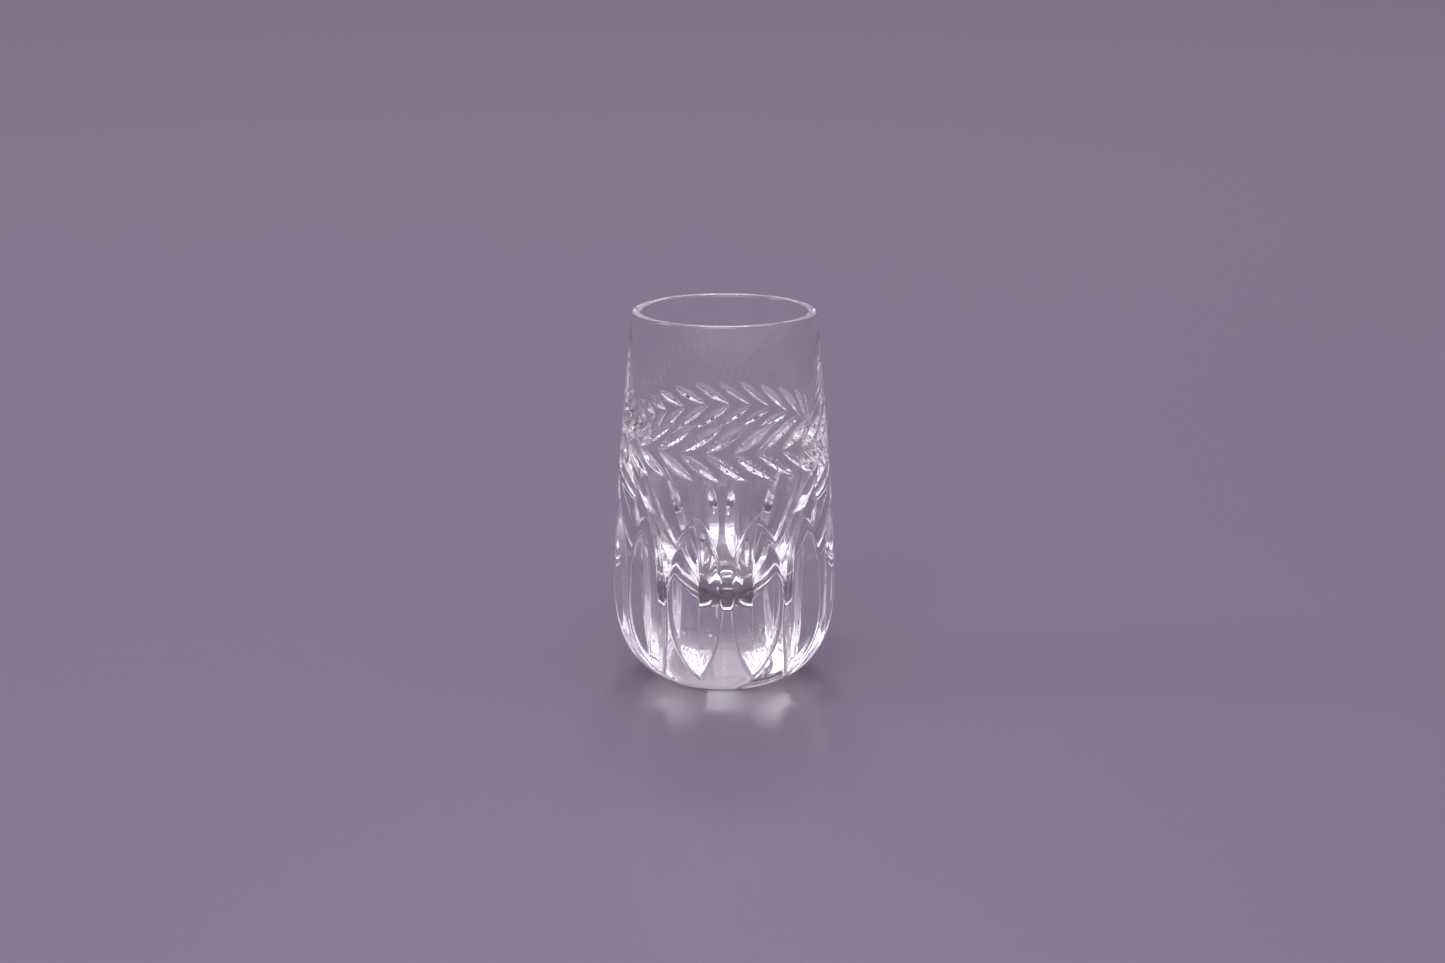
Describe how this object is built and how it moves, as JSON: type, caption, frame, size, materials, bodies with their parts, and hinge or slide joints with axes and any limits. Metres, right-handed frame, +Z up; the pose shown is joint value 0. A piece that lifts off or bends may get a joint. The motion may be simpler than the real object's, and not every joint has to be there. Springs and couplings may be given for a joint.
{
  "type": "shot glass",
  "caption": "Barrel-shaped cut-crystal shot glass with a thick base, a wreath of slanted leaf cuts and tall pointed flutes.",
  "frame": {"origin": "centre of the flat foot, on the surface that the glass stands on", "axes": "+Z up along the glass's axis, -Y towards the viewer in the rest view, +X to the viewer's right"},
  "size_m": [0.0418, 0.0418, 0.07],
  "materials": {
    "clear_crystal": "clear lead crystal, polished all over, with slightly softened cut edges"
  },
  "bodies": {
    "root": {"cut_glass_tumbler": "clear_crystal"}
  },
  "joints": []
}
